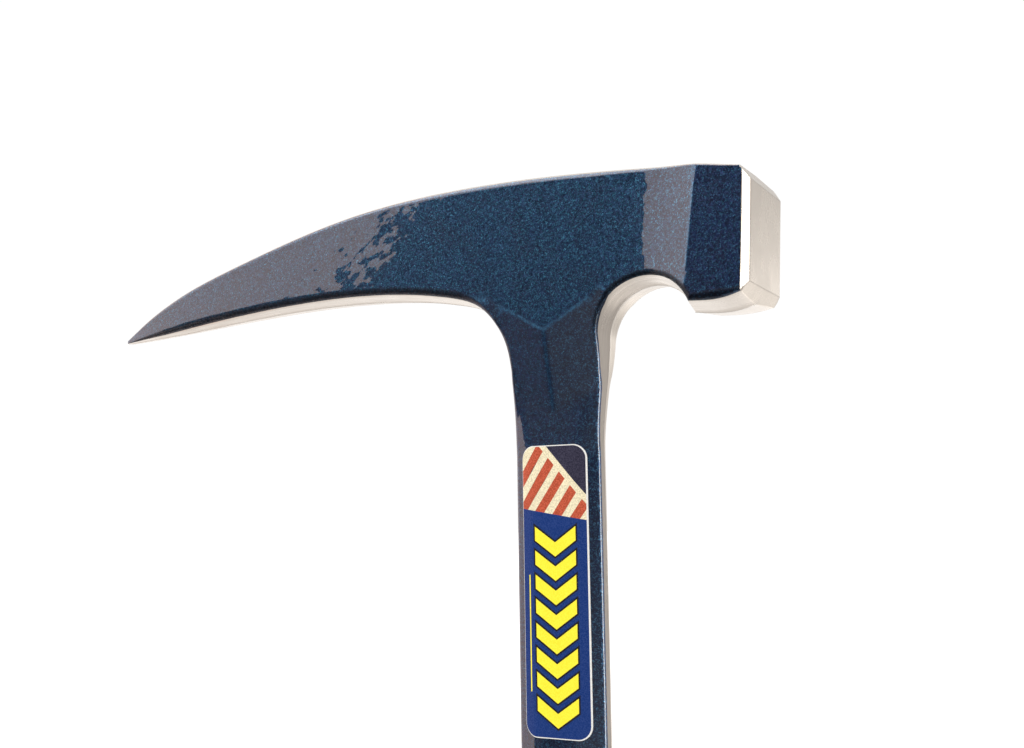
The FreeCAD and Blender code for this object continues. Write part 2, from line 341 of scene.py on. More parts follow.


# For each stretch of the outline: rounding of the rim between edge surface and side, how far the paint stops
# short of that rim (below 0 it reaches round it), the height of the die line, how strongly the grinding lines
# show, and how much painted shade darkens the paint on the rim's rounding.
STRETCH_KEYS = ("radius", "border", "flash", "grain", "shade")
STRETCHES = {
    "crown": (1.40, 0.15, 0.0, 0.7, 0.0),
    "tip": (0.25, -0.3, 0.0, 0.5, 0.3),
    "belly": (1.80, -1.00, FLASH, 0.9, 1.0),
    "armpit": (0.85, -0.50, FLASH, 0.9, 0.6),
    "shank": (0.90, -0.50, FLASH, 0.8, 0.1),
    "tang": (0.30, 0.0, 0.0, 1.0, 0.0),
    "neck": (0.90, -0.50, FLASH, 0.8, 0.1),
    "throat": (1.20, -0.75, FLASH, 1.0, 1.0),
    "poll": (1.80, -1.30, FLASH, 0.6, 0.9),
    "bevel": (0.15, 0.0, 0.0, 0.15, 0.0),
    "face": (0.12, 0.0, 0.0, 0.15, 0.0),
}
CROWN_THINS = (12.0, 36.0, 0.65)   # stations between which the crown's rounding is reduced, and by what share
BAND = 3.6                     # width of the structured band inside the rim
BEVEL_BAND = 2.8               # the same at the short bevels of the striking face
SLIM_BAND, SLIM_END = 0.36, -60.0   # on the pick up to this station, its width as a part of the pick's height
BLEND_REACH = 4.0              # how far from its ends a stretch takes on its neighbour's values
PAINT_WRAP = 0.7               # furthest the paint reaches round a rim, as a part of the rounding
FULL_BORDER = 1.2              # width of band from which on the paint border has its full value
ROUND_IN_BAND, ROUND_IN_DEPTH = 0.5, 0.55   # largest rounding, as a part of band and half thickness
CORNER_REACH = 6.0             # how far from a corner the band's rows lean towards its mitre
PLAIN_INSET = 1.5              # where the middle row of the band lies if no edge crosses it
SETTLING = 12                  # rounds in which depth and drafted outline settle
DIE_LINE_HALF = 0.22           # half the width of the die line
DEPTH_SHARES = (0.3, 0.62, 0.88, 1.0)       # rows between die line and rounding
ROUND_SHARES = (0.2, 0.4, 0.6, 0.8, 1.0)    # rows along the rounding
SIDE_ROW = 1 + len(DEPTH_SHARES) + len(ROUND_SHARES)    # the first row that lies on the side
CREASE_GAP = 0.07              # rows beside an edge in the band, as a part of the band's width
FAR_INSIDE = BAND + 0.6        # distance from the rim that counts for every point inside the band


def inward(points):
    """Unit normals of a stretch, pointing into the forging."""
    d = np.gradient(points, axis=0)
    n = np.stack([-d[:, 1], d[:, 0]], axis=1)
    return n / np.linalg.norm(n, axis=1, keepdims=True)


def settled(points, draft):
    """Half thickness of the forging where its drafted edge surface meets the side."""
    half = np.full(len(points), CHEEK_HALF)
    for _ in range(SETTLING):
        half = half_thickness(*(points + draft * half[:, None]).T)
    return half


def end_shares(s, reach):
    """How near each point is to the start and to the end of its stretch: 1 there, 0 from the reach on."""
    reach = min(s[-1] / 2, reach)
    return np.clip(1 - s / reach, 0, 1), np.clip(1 - (s[-1] - s) / reach, 0, 1)


def band_width(name, x, height, to_bevel):
    """Width of the band: less on the slim pick and at the bevels of the face."""
    width = np.full(len(x), BAND)
    if name in ("crown", "tip", "belly"):
        width = np.where(x > SLIM_END, BAND, np.minimum(BAND, SLIM_BAND * height))
    return np.minimum(width, BAND + (BEVEL_BAND - BAND) * to_bevel)


def columns():
    """One entry per column of the band: point, draft vector, lean, width, place of an edge that crosses it,
    the values of its stretch, half thickness, rim and length along the outline."""
    flat, deep = side_outline(0.0), side_outline(REACH_Y)
    names = [name for name, _ in flat]
    drafts = [(far - near) / REACH_Y for (_, near), (_, far) in zip(flat, deep)]
    rims = [near + draft * settled(near, draft)[:, None] for (_, near), draft in zip(flat, drafts)]
    normals = [inward(rim) for rim in rims]
    crown, belly = rims[0][::-1], rims[2]
    out = {key: [] for key in ("point", "draft", "lean", "width", "crease") + STRETCH_KEYS}
    for k, name in enumerate(names):
        before, after = k - 1, (k + 1) % len(names)
        mitres = [(a + b) / (1 + a @ b) for a, b in ((normals[before][-1], normals[k][0]),
                                                     (normals[k][-1], normals[after][0]))]
        s = lengths(rims[k])
        at_start, at_end = end_shares(s, CORNER_REACH)
        lean = (normals[k] + (mitres[0] - normals[k]) * at_start[:, None]
                + (mitres[1] - normals[k]) * at_end[:, None])
        x = rims[k][:, 0]
        height = np.interp(x, crown[:, 0], crown[:, 1]) - np.interp(x, belly[:, 0], belly[:, 1])
        to_bevel = at_start * (names[before] == "bevel") + at_end * (names[after] == "bevel")
        width = band_width(name, x, height, 1.0 if name == "bevel" else to_bevel)
        near_start, near_end = end_shares(s, BLEND_REACH)
        own = dict(zip(STRETCH_KEYS, STRETCHES[name]))
        for column, key in enumerate(STRETCH_KEYS):
            first, last = [(own[key] + STRETCHES[names[other]][column]) / 2 for other in (before, after)]
            own[key] = own[key] + (first - own[key]) * near_start + (last - own[key]) * near_end
        if name == "crown":
            start, end, share = CROWN_THINS
            own["radius"] = own["radius"] * (1 - share * np.clip((x - start) / (end - start), 0, 1))
        own["radius"] = np.minimum(own["radius"], ROUND_IN_BAND * width)
        own["border"] = own["border"] * np.minimum(1, width / FULL_BORDER)
        at_rim, further_in = bevel_room(*rims[k].T), bevel_room(*(rims[k] + lean).T)
        crossing = -at_rim / np.where(further_in > at_rim, further_in - at_rim, 1e-9)
        crease = np.where((crossing > 0) & (crossing < BAND), crossing, PLAIN_INSET)
        own.update(point=flat[k][1], draft=drafts[k], lean=lean, width=width, crease=crease)
        for key, value in own.items():
            out[key].append(value[:-1])
    c = {key: np.concatenate(value) for key, value in out.items()}
    c["half"] = settled(c["point"], c["draft"])
    c["rim"] = c["point"] + c["draft"] * c["half"][:, None]
    c["radius"] = np.minimum(c["radius"], ROUND_IN_DEPTH * c["half"])
    c["border"] = np.maximum(c["border"], -PAINT_WRAP * c["radius"])
    c["run"] = lengths(c["rim"])
    return c


def band_rows(c):
    """Rows of the band from the parting plane over the rim on to the side: side-view points, depth, and
    distance from the rim (below 0 on the edge surface)."""
    point, draft, half, radius = c["point"], c["draft"], c["half"], c["radius"]
    rows = [(point - c["lean"] * c["flash"][:, None], np.zeros(len(half)), -half)]
    flat_end = half - radius
    for depth in [np.minimum(DIE_LINE_HALF, 0.1 * half)] + [share * flat_end for share in DEPTH_SHARES]:
        rows.append((point + draft * depth[:, None], depth, depth - half))
    start = point + draft * flat_end[:, None]
    end = c["rim"] + c["lean"] * radius[:, None]
    end_depth = half_thickness(*end.T)
    for t in ROUND_SHARES:
        w = ((1 - t) ** 2, 2 * t * (1 - t), t * t)
        place = start * w[0] + c["rim"] * w[1] + end * w[2]
        rows.append((place, flat_end * w[0] + half * w[1] + end_depth * w[2], (2 * t - 1) * radius))
    gap = CREASE_GAP * c["width"]
    crease = np.clip(c["crease"], radius + 2 * gap, c["width"] - 2 * gap)
    for inset in ((radius + crease - gap) / 2, crease - gap, crease, crease + gap, c["width"]):
        place = c["rim"] + c["lean"] * inset[:, None]
        rows.append((place, half_thickness(*place.T), inset))
    return rows


def inside(points, loop):
    """Which points lie inside a closed loop."""
    x, z = points[:, :1], points[:, 1:]
    ax, az = loop[:, 0], loop[:, 1]
    bx, bz = np.roll(ax, -1), np.roll(az, -1)
    crosses = (az > z) != (bz > z)
    at = ax + (z - az) * (bx - ax) / np.where(bz == az, 1e-9, bz - az)
    return (crosses & (x < at)).sum(1) % 2 == 1


def honeycomb(low, high, pitch):
    """Evenly spread points in a rectangle."""
    rows = np.arange(low[1] + pitch / 2, high[1], pitch * math.sqrt(0.75))
    cols = np.arange(low[0] + pitch / 2, high[0], pitch)
    x = cols[None, :] + (np.arange(len(rows)) % 2)[:, None] * pitch / 2
    return np.stack([x.ravel(), np.repeat(rows, len(cols))], axis=1)


FINE, MEDIUM, COARSE = 0.4, 1.1, 4.0         # spacing at the neck and crease, on the head, on the shank
NECK_LOW, NECK_HIGH = (-26.0, -30.0), (24.0, 9.5)
PLAIN_BELOW = -32.0            # the shank is plain below this height
CREASE_REACH = 1.0             # how far from the crease the points lie close together
BAND_CLEARANCE = 0.3           # least distance from the band


def interior_points(loop):
    """Points of the sides inside the band: close together at the neck, its edges and the crease."""
    found = []
    for pitch in (FINE, MEDIUM, COARSE):
        p = honeycomb(loop.min(0), loop.max(0), pitch)
        fine = (np.all((p > NECK_LOW) & (p < NECK_HIGH), axis=1)
                | (np.abs(along_plan(*p.T) - CREASE_X) < CREASE_REACH))
        plain = p[:, 1] < PLAIN_BELOW
        found.append(p[{FINE: fine, MEDIUM: ~fine & ~plain, COARSE: plain}[pitch]])
    p = np.vstack(found)
    p = p[inside(p, loop)]
    tree = KDTree(len(loop))
    for k, q in enumerate(loop):
        tree.insert((q[0], q[1], 0), k)
    tree.balance()
    clear = [tree.find((a, b, 0))[2] > BAND_CLEARANCE for a, b in p]
    return p[np.array(clear)]


def forging_shape():
    """Points, faces and finish values of the forging, and which points lie on its front and back surfaces."""
    c = columns()
    rows = band_rows(c)
    n = len(c["half"])
    loop = rows[-1][0]
    flat = [Vector(p) for p in np.vstack([loop, interior_points(loop)])]
    made = delaunay_2d_cdt(flat, [], [list(range(n))], 1, 1e-6)
    spots, triangles, origin = np.array([tuple(v) for v in made[0]]), made[2], made[3]
    in_loop = [min([o for o in source if o < n], default=-1) for source in origin]
    inner = [k for k, o in enumerate(in_loop) if o < 0]
    chosen = spots[inner]

    layers, faces = [(*rows[0], c["run"], np.zeros(n, bool))], []
    step, count = np.arange(n), n
    for side in (-1, 1):
        last = step
        for k, (where, y, e) in enumerate(rows[1:], 1):
            here = count + step
            count += n
            layers.append((where, side * y, e, c["run"], np.full(n, k >= SIDE_ROW)))
            quads = np.stack([last, here, np.roll(here, -1), np.roll(last, -1)], axis=1)
            faces += (quads if side > 0 else quads[:, ::-1]).tolist()
            last = here
        new = {k: count + number for number, k in enumerate(inner)}
        count += len(new)
        layers.append((chosen, side * half_thickness(*chosen.T), np.full(len(new), FAR_INSIDE), chosen[:, 0],
                       np.ones(len(new), bool)))
        index = [new[k] if k in new else int(last[in_loop[k]]) for k in range(len(spots))]
        for t in triangles:
            ring = [index[k] for k in t]
            faces.append(ring if side < 0 else ring[::-1])
    place, depth, offset, run, on_side = [np.concatenate(parts) for parts in zip(*layers)]
    per_side, tail = len(rows) - 1, np.zeros(len(inner))
    border, grain, shade, radius = [np.concatenate([c[key]] + [np.tile(c[key], per_side), tail] * 2)
                                    for key in ("border", "grain", "shade", "radius")]
    x, z = place.T
    points = np.clip(np.stack([x, depth, z + DATUM], axis=1), FORGING_LOW, FORGING_HIGH)
    values = {
        "paint": np.minimum(offset - border, bevel_room(x, z) / SIDE_BEVEL_SLOPE),
        "shade": shade * np.clip((radius - offset) / (0.5 * radius + 0.01), 0, 1),
        # edge places the painted highlight along raised edges
        "edge": np.where(on_side, raised_edge_highlight(x, z), 0),
        "cheek": cheek_lit_share(x, z), "grain": grain, "run": run, "across": depth}
    return points, faces, values, on_side


# ---- nodes ----
def node(tree, kind, inputs=None, **settings):
    """A new node; an input is a value, or a socket to link from."""
    made = tree.nodes.new(kind)
    for key, value in settings.items():
        setattr(made, key, value)
    for key, value in (inputs or {}).items():
        socket = made.inputs[key]
        if isinstance(value, bpy.types.NodeSocket):
            tree.links.new(value, socket)
        else:
            socket.default_value = value
    return made


def maths(tree, operation, a, b):
    return node(tree, "ShaderNodeMath", {0: a, 1: b}, operation=operation).outputs[0]


def ramp(tree, value, low, high, to_low=0.0, to_high=1.0):
    """A value moved smoothly from one range to another and held at its ends."""
    return node(tree, "ShaderNodeMapRange", {0: value, 1: low, 2: high, 3: to_low, 4: to_high},
                interpolation_type="SMOOTHSTEP").outputs[0]


def mix_colour(tree, share, a, b):
    """A mix of two colours; each is a socket, or red, green and blue."""
    a, b = [colour + (1,) if isinstance(colour, tuple) else colour for colour in (a, b)]
    return node(tree, "ShaderNodeMix", {0: share, 6: a, 7: b}, data_type="RGBA").outputs[2]


def noise(tree, where, scale, detail=2.0, rough=0.5):
    inputs = {"Vector": where, "Scale": scale, "Detail": detail, "Roughness": rough}
    return node(tree, "ShaderNodeTexNoise", inputs)


def place_of(tree):
    return node(tree, "ShaderNodeTexCoord").outputs["Object"]


def vector_maths(tree, operation, inputs):
    return node(tree, "ShaderNodeVectorMath", inputs, operation=operation).outputs[0]


def tilted_normal(tree, colour, amount, base=None):
    """The surface normal, leaned by a random colour: amount is the greatest lean, as a slope."""
    if base is None:
        base = node(tree, "ShaderNodeNewGeometry").outputs["Normal"]
    centred = vector_maths(tree, "SUBTRACT", {0: colour, 1: (0.5, 0.5, 0.5)})
    doubled = vector_maths(tree, "SCALE", {0: centred, "Scale": 2.0})
    lean = vector_maths(tree, "SCALE", {0: doubled, "Scale": amount})
    return vector_maths(tree, "NORMALIZE", {0: vector_maths(tree, "ADD", {0: base, 1: lean})})


def principled(tree, inputs):
    return node(tree, "ShaderNodeBsdfPrincipled", inputs).outputs[0]


def material_of(name, shader, *values):
    """A material whose surface is what the shader function builds."""
    material = bpy.data.materials.new(name)
    material.use_nodes = True
    tree = material.node_tree
    tree.nodes.clear()
    node(tree, "ShaderNodeOutputMaterial", {"Surface": shader(tree, *values)})
    return material


def attribute(tree, name):
    return node(tree, "ShaderNodeAttribute", attribute_name=name).outputs["Fac"]


# ---- materials ----
# One paint in two copies: lighter and bluer on the cheeks and the pick as painted light, darker on the neck,
# shank and poll as painted shade.
PAINT_LIT_AND_SHADED = {                      # each on the neck, shank and poll, then on the cheeks and the pick
    "deep": ((0.0045, 0.0133, 0.051), (0.0055, 0.0225, 0.066)),
    "thin": ((0.0100, 0.0318, 0.106), (0.0170, 0.0560, 0.140)),
    "flake": ((0.052, 0.170, 0.295), (0.060, 0.240, 0.385))}
# Of the next colours, the second is a painted highlight for raised edges, partly thin paint, and the third is
# painted shade for the roundings of the rims.
PAINT_DULL, PAINT_EDGE_HIGHLIGHT, PAINT_SHADE = (0.0170, 0.0200, 0.040), (0.052, 0.220, 0.420), (0.003, 0.004, 0.007)
STEEL, STEEL_LINE, STEEL_CLOUD = (0.665, 0.592, 0.522), (0.540, 0.478, 0.418), (0.600, 0.537, 0.475)
VINYL_DEEP, VINYL_BRIGHT, VINYL_CELL = (0.007, 0.030, 0.135), (0.010, 0.042, 0.180), (0.006, 0.022, 0.085)
VINYL_DUST, VINYL_HOLLOW_SHADE = (0.10, 0.16, 0.28), (0.004, 0.014, 0.055)
NYLON_DARK, NYLON_LIGHT = (0.030, 0.031, 0.034), (0.062, 0.062, 0.066)


def paint(tree):
    """Deep blue metallic paint under a gloss coat: flakes in clusters, orange peel, a painted highlight on
    raised edges where the paint is also thin, and painted shade on the roundings of the rims.
    """
    where = place_of(tree)
    flakes = node(tree, "ShaderNodeTexVoronoi", {"Vector": where, "Scale": 5200.0})
    flake = node(tree, "ShaderNodeSeparateColor", {0: flakes.outputs["Color"]}).outputs[0]
    clusters = ramp(tree, noise(tree, where, 1500.0, 3.0, 0.6).outputs["Fac"], 0.36, 0.68)
    bright = maths(tree, "MULTIPLY", ramp(tree, flake, 0.55, 1.0), ramp(tree, clusters, 0, 1, 0.45, 1.0))
    # cheek picks the lighter copy of the paint, painted light, over the darker copy, painted shade
    cheek = attribute(tree, "cheek")
    deep, thin, glint = [mix_colour(tree, cheek, *PAINT_LIT_AND_SHADED[layer]) for layer in ("deep", "thin", "flake")]
    body = mix_colour(tree, clusters, deep, thin)
    dull = ramp(tree, noise(tree, where, 130.0, 3.0).outputs["Fac"], 0.4, 0.75, 0.0, 0.3)
    body = mix_colour(tree, dull, body, PAINT_DULL)
    body = mix_colour(tree, bright, body, glint)
    # painted highlight along raised edges, partly thin paint, broken into speckles
    edge_highlight_speckles = ramp(tree, noise(tree, where, 2200.0).outputs["Fac"], 0.35, 0.65, 0.25, 1.0)
    body = mix_colour(tree, maths(tree, "MULTIPLY", attribute(tree, "edge"), edge_highlight_speckles), body, PAINT_EDGE_HIGHLIGHT)
    # Painted shade on the roundings of the rims: the paint turns near black there and loses most of its coat.
    shade = attribute(tree, "shade")
    body = mix_colour(tree, maths(tree, "MULTIPLY", shade, 0.82), body, PAINT_SHADE)
    slant = {"Vector": where, "Rotation": (0, math.radians(-30), 0), "Scale": (1.9, 1.0, 0.85)}
    slanted = node(tree, "ShaderNodeMapping", slant, vector_type="TEXTURE").outputs[0]
    along = node(tree, "ShaderNodeSeparateXYZ", {0: where}).outputs[0]
    waves = ramp(tree, along, -0.045, -0.012, 0.042, 0.026)
    peel = tilted_normal(tree, noise(tree, slanted, 560.0, 3.0, 0.5).outputs["Color"], waves)
    peel = tilted_normal(tree, noise(tree, slanted, 190.0, 1.0).outputs["Color"], 0.018, peel)
    return principled(tree, {
        "Base Color": body, "Metallic": 0.8, "Roughness": 0.42,
        "Normal": tilted_normal(tree, flakes.outputs["Color"], 0.22),
        "Coat Weight": ramp(tree, shade, 0, 1, 1.0, 0.15), "Coat Roughness": 0.02, "Coat IOR": 1.7,
        "Coat Normal": peel})


def bare_steel(tree):
    """Belt-ground bare steel: fine lines that follow the outline, faint cloudy tone."""
    where = place_of(tree)
    grain = attribute(tree, "grain")
    stretched = maths(tree, "MULTIPLY", attribute(tree, "run"), 0.05)
    flow = node(tree, "ShaderNodeCombineXYZ", {0: stretched, 1: attribute(tree, "across")}).outputs[0]
    lines = noise(tree, flow, 2.2, 6.0, 0.65)
    clouds = noise(tree, where, 160.0, 3.0).outputs["Fac"]
    line_tone = maths(tree, "MULTIPLY", ramp(tree, lines.outputs["Fac"], 0.3, 0.7), grain)
    tone = mix_colour(tree, line_tone, STEEL, STEEL_LINE)
    tone = mix_colour(tree, ramp(tree, clouds, 0.3, 0.8, 0.0, 0.35), tone, STEEL_CLOUD)
    dull_lines = maths(tree, "MULTIPLY", line_tone, 0.08)
    rough = maths(tree, "ADD", ramp(tree, clouds, 0.2, 0.8, 0.24, 0.30), dull_lines)
    lean = mix_colour(tree, grain, (0.5, 0.5, 0.5), lines.outputs["Color"])
    return principled(tree, {
        "Base Color": tone, "Metallic": 1.0, "Roughness": rough, "Normal": tilted_normal(tree, lean, 0.03)})


def forging_finish(tree):
    """Paint on the sides and bare steel on the edge surfaces, with a slightly uneven border."""
    uneven = ramp(tree, noise(tree, place_of(tree), 700.0, 3.0).outputs["Fac"], 0.3, 0.7, -0.02, 0.02)
    share = ramp(tree, maths(tree, "ADD", attribute(tree, "paint"), uneven), -0.04, 0.04)
    return node(tree, "ShaderNodeMixShader", {0: share, 1: bare_steel(tree), 2: paint(tree)}).outputs[0]


def printed_film(tree, colour, wear):
    """Gloss printed film in one ink; wear sets its print grain and mottling."""
    where = place_of(tree)
    grain = noise(tree, where, 3800.0, 2.0).outputs["Fac"]
    mottle = noise(tree, where, 260.0, 3.0).outputs["Fac"]
    dark = tuple(c * (1 - 2.5 * wear) for c in colour)
    light = tuple(min(1.0, c * (1 + wear) + 0.01) for c in colour)
    tone = mix_colour(tree, ramp(tree, grain, 0.3, 0.7), dark, light)
    tone = mix_colour(tree, ramp(tree, mottle, 0.45, 0.75, 0.0, 0.3), tone, dark)
    return principled(tree, {
        "Base Color": tone, "Roughness": ramp(tree, grain, 0.2, 0.8, 0.22, 0.32), "IOR": 1.2,
        "Normal": tilted_normal(tree, noise(tree, where, 120.0).outputs["Color"], 0.006)})


def vinyl(tree):
    """Soft blue vinyl with a fine leathery mould texture, duller and darker in its hollows, where the
    darkening is painted shade.
    """
    where = place_of(tree)
    cells = node(tree, "ShaderNodeTexVoronoi", {"Vector": where, "Scale": 1400.0}).outputs["Distance"]
    pores = noise(tree, where, 2600.0, 3.0)
    broad = noise(tree, where, 45.0, 3.0).outputs["Fac"]
    tone = mix_colour(tree, ramp(tree, broad, 0.3, 0.7), VINYL_DEEP, VINYL_BRIGHT)
    tone = mix_colour(tree, ramp(tree, cells, 0.3, 0.9, 0.0, 0.45), tone, VINYL_CELL)
    dust = ramp(tree, noise(tree, where, 330.0, 5.0, 0.7).outputs["Fac"], 0.56, 0.75, 0.0, 0.18)
    tone = mix_colour(tree, dust, tone, VINYL_DUST)
    # painted shade in the grooves, the lip and the bore
    tone = mix_colour(tree, maths(tree, "MULTIPLY", attribute(tree, "hollow_shade"), 0.55), tone, VINYL_HOLLOW_SHADE)
    bump = node(tree, "ShaderNodeBump", {
        "Height": cells, "Strength": 0.35, "Distance": 0.00006,
        "Normal": tilted_normal(tree, pores.outputs["Color"], 0.10)}).outputs[0]
    return principled(tree, {
        "Base Color": tone, "Roughness": ramp(tree, pores.outputs["Fac"], 0.3, 0.7, 0.44, 0.58),
        "Specular IOR Level": 0.36, "Normal": bump})


def nylon(tree):
    """Hard black nylon of the core, with faint flow marks."""
    where = place_of(tree)
    flow = noise(tree, where, 120.0, 4.0, 0.6).outputs["Fac"]
    return principled(tree, {
        "Base Color": mix_colour(tree, flow, NYLON_DARK, NYLON_LIGHT),
        "Roughness": ramp(tree, flow, 0.3, 0.7, 0.42, 0.6),
        "Normal": tilted_normal(tree, noise(tree, where, 1500.0).outputs["Color"], 0.05)})


# ---- pieces ----
def in_scene(name, data):
    made = bpy.data.objects.new(name, data)
    bpy.context.scene.collection.objects.link(made)
    return made


def add_mesh(name, points, faces, materials, values):
    """A mesh object with named values at its vertices."""
    mesh = bpy.data.meshes.new(name)
    mesh.from_pydata(points, [], faces)
    for material in materials:
        mesh.materials.append(material)
    for key, value in values.items():
        mesh.attributes.new(key, "FLOAT", "POINT").data.foreach_set("value", np.asarray(value, np.float32))
    return in_scene(name, mesh)


def add_piece(name, points, faces, materials, values):
    """A smooth mesh object from millimetre points."""
    piece = add_mesh(name, (np.asarray(points) * MM).tolist(), faces, materials, values)
    piece.data.shade_smooth()
    return piece


def stand_for(piece, node_name):
    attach(piece, "root")
    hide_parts(node_name)


def make_forging():
    points, faces, values, on_side = forging_shape()
    finish = material_of("forged_steel_and_paint", forging_finish)
    piece = add_piece("forged_hammer", points, faces, [finish], values)
    normals = np.zeros(len(points) * 3, np.float32)
    piece.data.vertex_normals.foreach_get("vector", normals)
    normals = normals.reshape(-1, 3)
    x, y, z = points[on_side].T
    front, back = [side_normals(x, z - DATUM, side) for side in (-1.0, 1.0)]
    normals[on_side] = np.where((y < 0)[:, None], front, back)
    piece.data.normals_split_custom_set_from_vertices(normals.tolist())
    stand_for(piece, "forged_body")


# ---- grip ----
def directions(count):
    return np.linspace(0, 2 * math.pi, count, endpoint=False)


def rounded_ring(half_x, half_y, radius, count):
    """Points round a rectangle with round corners, evenly spread by direction."""
    angle = directions(count)
    ray = np.stack([np.cos(angle), np.sin(angle)], axis=1) * (half_x, half_y)
    ray /= np.linalg.norm(ray, axis=1, keepdims=True)
    middle = np.array([half_x - radius, half_y - radius])
    corner = np.sign(ray) * middle
    along = (corner * ray).sum(1)
    on_corner = along + np.sqrt(np.maximum(radius ** 2 - ((corner ** 2).sum(1) - along ** 2), 0))
    tip = ray * np.min((half_x, half_y) / np.maximum(np.abs(ray), 1e-9), axis=1)[:, None]
    in_corner = np.all(np.abs(tip) > middle, axis=1)
    return np.where(in_corner[:, None], ray * on_corner[:, None], tip)


def shank_ring(gap, count):
    """Section of the plain shank with a gap all round, at the directions of rounded_ring."""
    angle = directions(count)
    ray = np.stack([np.cos(angle), np.sin(angle)], axis=1) * (SHANK_HALF_WIDTH + gap, SHANK_HALF_THICK + gap)
    to_edge = 1 / np.maximum(np.abs(np.cos(angle)), 1e-9)
    share = np.ones(count)
    for _ in range(40):
        room = half_thickness(share * ray[:, 0], np.full(count, PLAIN_SHANK_Z)) + gap
        share = (share + np.minimum(to_edge, room / np.maximum(np.abs(ray[:, 1]), 1e-9))) / 2
    return ray * share[:, None]


GRIP_SECTIONS = np.array([     # height, half width, half depth, as in the CAD sleeve
    (0.0, 17.4, 12.2), (3.0, 19.4, 14.2), (9.0, 20.0, 14.8), (30.0, 17.4, 13.2), (72.0, 18.2, 14.0),
    (118.0, 16.4, 12.6), (150.0, 15.4, 11.6), (166.0, 16.4, 12.0), (174.0, 16.8, 12.2), (181.0, 14.4, 9.4)])
GRIP_SLOPES = spline_slopes(GRIP_SECTIONS[:, 0], GRIP_SECTIONS[:, 1:])
GRIP_ROUND = 0.82              # radius of the section's corners, as a part of its half depth
GRIP_COUNT = 144               # points in a section
END_ROUND = 1.6                # rounding of the butt end
GROOVE_LOW, GROOVE_PITCH, GROOVE_COUNT = 34.0, 8.0, 14
GROOVE_HALF, GROOVE_DEPTH = 1.1, 0.75
PANEL_EDGE_SINE, PANEL_FADE = 0.62, 0.12    # sine of the direction where the smooth side panels begin
COLLAR_Z, COLLAR_HALF, COLLAR_DEPTH = 163.5, 0.9, 0.8     # the step under the collar
COLLAR_REACH = 1.2             # how far from that step the sections lie close together
LIP = ((0.25, 0.0), (0.6, 0.15), (0.85, 0.45), (1.0, 1.0))   # share of the way to the mouth, and drop
MOUTH_GAP, PLAIN_SHANK_Z = 0.05, -60.0
CORE_ROUND = 4.0


def smooth_step(share):
    """A share from 0 to 1, eased at both ends."""
    share = np.clip(share, 0, 1)
    return share * share * (3 - 2 * share)


def groove_depth(z):
    """Depth of the ring grooves and of the step under the collar at a height."""
    middles = GROOVE_LOW + GROOVE_PITCH * np.arange(GROOVE_COUNT)
    grooves = GROOVE_DEPTH * np.clip(1 - ((z - middles) / GROOVE_HALF) ** 2, 0, 1)
    return max(grooves.max(), COLLAR_DEPTH * smooth_step(1 - abs(z - COLLAR_Z) / COLLAR_HALF))


def sleeve_heights():
    """Heights of the sleeve's sections, close together where its surface bends."""
    flare, brim, end = GRIP_SECTIONS[[2, -2, -1], 0]
    grooves = np.arange(GROOVE_LOW - 3, GROOVE_LOW + GROOVE_COUNT * GROOVE_PITCH, 0.5)
    low, high = COLLAR_Z - COLLAR_REACH, COLLAR_Z + COLLAR_REACH
    stretches = ((0, flare, 19), (flare, grooves[0], 16), (grooves[-1], low, 8), (low, high, 9),
                 (high, brim, 10), (brim, end, 15))
    spread = [np.linspace(*stretch) for stretch in stretches]
    return np.unique(np.round(np.concatenate([grooves] + spread), 3))


def sleeve_rings():
    """Rings of the sleeve as (points, height, share of painted shade), up its outside and down its bore."""
    panel = 1 - smooth_step((np.abs(np.sin(directions(GRIP_COUNT))) - PANEL_EDGE_SINE) / PANEL_FADE)
    rings = []
    for z in sleeve_heights():
        half_x, half_y = spline_at(GRIP_SECTIONS[:, 0], GRIP_SECTIONS[:, 1:], GRIP_SLOPES, np.array([z]))[0]
        back = END_ROUND * (1 - math.sqrt(max(0.0, 1 - max(0.0, 1 - z / END_ROUND) ** 2)))
        ring = rounded_ring(half_x - back, half_y - back, GRIP_ROUND * half_y - back, GRIP_COUNT)
        pull = groove_depth(z) * (panel if z < COLLAR_Z - 2 else np.ones(GRIP_COUNT))
        unit = ring / np.linalg.norm(ring, axis=1, keepdims=True)
        rings.append((ring - unit * pull[:, None], z, pull / GROOVE_DEPTH))
    outer, mouth = rings[-1][0], shank_ring(MOUTH_GAP, GRIP_COUNT)
    core = rounded_ring(CORE_HIGH[0], CORE_HIGH[1], CORE_ROUND, GRIP_COUNT)
    for share, drop in LIP:
        rings.append((outer * (1 - share) + mouth * share, SLEEVE_HIGH[2] - drop, np.full(GRIP_COUNT, share)))
    for ring, z in ((mouth, CORE_HIGH[2]), (core, CORE_HIGH[2]), (core, CORE_LOW[2])):
        rings.append((ring, z, np.ones(GRIP_COUNT)))
    return rings


def make_sleeve():
    """Cushion grip: a swelling body with ring grooves broken by a smooth panel on each side, a collar and a
    flared end."""
    rings = sleeve_rings()
    points = np.vstack([np.column_stack([ring, np.full(GRIP_COUNT, z)]) for ring, z, _ in rings])
    points = np.clip(points, SLEEVE_LOW, SLEEVE_HIGH)
    faces = []
    step = np.arange(GRIP_COUNT)
    for k in range(len(rings) - 1):
        a, b = k * GRIP_COUNT + step, (k + 1) * GRIP_COUNT + step
        faces += np.stack([a, np.roll(a, -1), np.roll(b, -1), b], axis=1).tolist()
    centre = len(points)
    for middle, first, turn in ((centre, 0, -1), (centre + 1, centre - GRIP_COUNT, 1)):
        for k in range(GRIP_COUNT):
            faces.append([middle, first + k, first + (k + 1) % GRIP_COUNT][::turn])
    points = np.vstack([points, [(0.0, 0.0, 0.0), (0.0, 0.0, CORE_LOW[2])]])
    hollow_shade = np.concatenate([value for _, _, value in rings] + [np.zeros(2)])
    finish = material_of("moulded_vinyl", vinyl)
    piece = add_piece("cushion_grip", points, faces, [finish], {"hollow_shade": hollow_shade})
    stand_for(piece, "grip_sleeve")


